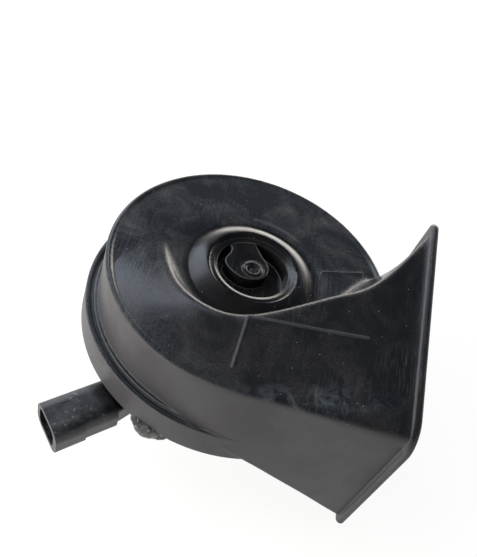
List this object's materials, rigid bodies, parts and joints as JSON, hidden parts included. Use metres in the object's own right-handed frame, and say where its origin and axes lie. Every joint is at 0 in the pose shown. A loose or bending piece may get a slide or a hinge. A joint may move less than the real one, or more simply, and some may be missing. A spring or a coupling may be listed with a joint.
{
  "type": "electric snail horn",
  "caption": "Electric disc horn for a vehicle: black coiled trumpet cover with a flared mouth, steel driver pan with a mounting stud, and a blade connector.",
  "frame": {"origin": "where the disc axis meets the outer face of the core nut, which a bracket is clamped against", "axes": "+Z along the disc axis from the stud towards the front face, +X the way the mouth blows"},
  "size_m": [0.0932, 0.0967, 0.0799],
  "materials": {
    "cover_plastic": "glossy black moulded",
    "inner_plastic": "black moulded",
    "gasket_paper": "pressed fibre sheet",
    "spring_steel": "rolled spring steel",
    "zinc_steel": "drawn, zinc plated",
    "soft_iron": "turned soft iron",
    "zinc_stud": "turned, zinc plated",
    "bobbin_plastic": "natural moulded",
    "enamelled_copper": "enamelled wire",
    "breaker_insulation": "moulded phenolic",
    "brass_strip": "stamped",
    "contact_metal": "ground contact metal",
    "resistor_body": "cement coated",
    "sealing_lacquer": "red lacquer drop",
    "connector_plastic": "matt dark grey moulded",
    "seal_rubber": "moulded",
    "blade_brass": "tinned brass",
    "aluminium_rivet": "plain",
    "compound": "cured grey compound"
  },
  "bodies": {
    "horn": {"trumpet_cover": "cover_plastic", "base_plate": "inner_plastic", "upper_gasket": "gasket_paper", "diaphragm": "spring_steel", "lower_gasket": "gasket_paper", "driver_housing": "zinc_steel", "pole_core": "zinc_stud", "core_washer": "zinc_stud", "core_nut": "zinc_stud", "coil_bobbin": "bobbin_plastic", "coil_winding": "enamelled_copper", "contact_base": "breaker_insulation", "contact_spacer": "breaker_insulation", "fixed_contact_strip": "brass_strip", "fixed_contact": "contact_metal", "contact_rivets": "brass_strip", "arc_resistor": "resistor_body", "adjusting_screw": "zinc_stud", "adjusting_screw_seal": "sealing_lacquer", "connector_housing": "connector_plastic", "connector_gasket": "seal_rubber", "live_terminal": "blade_brass", "ground_terminal": "blade_brass", "connector_rivets": "aluminium_rivet", "sealing_compound": "compound"},
    "armature_group": {"armature": "soft_iron", "armature_washer": "soft_iron"},
    "contact_arm_group": {"contact_arm": "spring_steel", "moving_contact": "contact_metal"}
  },
  "joints": [
    {"name": "armature_stroke", "type": "slide", "parent": "horn", "child": "armature_group", "axis": [0, 0, -1], "range_m": [0, 0.0003], "stiffness_N_per_m": 20000, "deforming": ["diaphragm"]},
    {"name": "contact_arm_flex", "type": "hinge", "parent": "horn", "child": "contact_arm_group", "pos_m": [-0.024, 0, 0.0239], "axis": [0, 1, 0], "range_deg": [0, 1.25], "stiffness_Nm_per_rad": 0.2}
  ],
  "couplings": [
    {"joint": "contact_arm_flex", "follows": "armature_stroke", "rad_per_m": 71.43}
  ]
}
